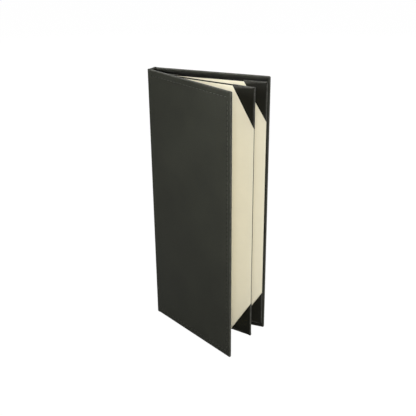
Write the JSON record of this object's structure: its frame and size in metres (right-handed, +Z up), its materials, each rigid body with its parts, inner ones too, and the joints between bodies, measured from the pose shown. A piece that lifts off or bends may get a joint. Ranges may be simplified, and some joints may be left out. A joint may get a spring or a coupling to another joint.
{
  "type": "menu cover",
  "caption": "Tall booklet menu cover: two stiff leatherette covers on a narrow spine, a centre leaf, and corner pockets holding menu sheets; stands fanned open.",
  "frame": {"origin": "foot of the spine, in the middle of the spine's section", "axes": "+Z up along the spine, +X along the centre leaf from the spine to its free edge, +Y from the front cover's side to the back cover's side"},
  "size_m": [0.1248, 0.0729, 0.292],
  "materials": {
    "leatherette": "black-olive imitation leather, fine grain, satin",
    "lining": "black lining cloth, matt",
    "greyboard": "greyboard, matt",
    "paper": "cream card, matt, blank",
    "thread": "polyester sewing thread in the leatherette's colour"
  },
  "bodies": {
    "spine_and_leaf": {"back_hinge_leather": "leatherette", "front_hinge_leather": "leatherette", "leaf_back_bottom_fore_pocket": "leatherette", "leaf_back_bottom_spine_pocket": "leatherette", "leaf_back_covering": "leatherette", "leaf_back_menu_sheet": "paper", "leaf_back_top_fore_pocket": "leatherette", "leaf_back_top_spine_pocket": "leatherette", "leaf_binding_tab": "lining", "leaf_board": "greyboard", "leaf_front_bottom_fore_pocket": "leatherette", "leaf_front_bottom_spine_pocket": "leatherette", "leaf_front_covering": "leatherette", "leaf_front_menu_sheet": "paper", "leaf_front_top_fore_pocket": "leatherette", "leaf_front_top_spine_pocket": "leatherette", "spine_board": "greyboard", "spine_leather": "leatherette", "spine_lining": "lining"},
    "front_cover": {"front_bottom_fore_pocket": "leatherette", "front_bottom_spine_pocket": "leatherette", "front_cover_board": "greyboard", "front_cover_leather": "leatherette", "front_cover_lining": "lining", "front_inner_panel": "leatherette", "front_menu_sheet": "paper", "front_stitching": "thread", "front_top_fore_pocket": "leatherette", "front_top_spine_pocket": "leatherette"},
    "back_cover": {"back_bottom_fore_pocket": "leatherette", "back_bottom_spine_pocket": "leatherette", "back_cover_board": "greyboard", "back_cover_leather": "leatherette", "back_cover_lining": "lining", "back_inner_panel": "leatherette", "back_menu_sheet": "paper", "back_stitching": "thread", "back_top_fore_pocket": "leatherette", "back_top_spine_pocket": "leatherette"}
  },
  "joints": [
    {"name": "front_cover_hinge", "type": "hinge", "parent": "spine_and_leaf", "child": "front_cover", "pos_m": [-0.0014, -0.006, 0.146], "axis": [0, 0, -1], "range_deg": [-16, 164], "deforming": ["front_hinge_leather"]},
    {"name": "back_cover_hinge", "type": "hinge", "parent": "spine_and_leaf", "child": "back_cover", "pos_m": [-0.0014, 0.006, 0.146], "axis": [0, 0, 1], "range_deg": [-12, 168], "deforming": ["back_hinge_leather"]}
  ]
}
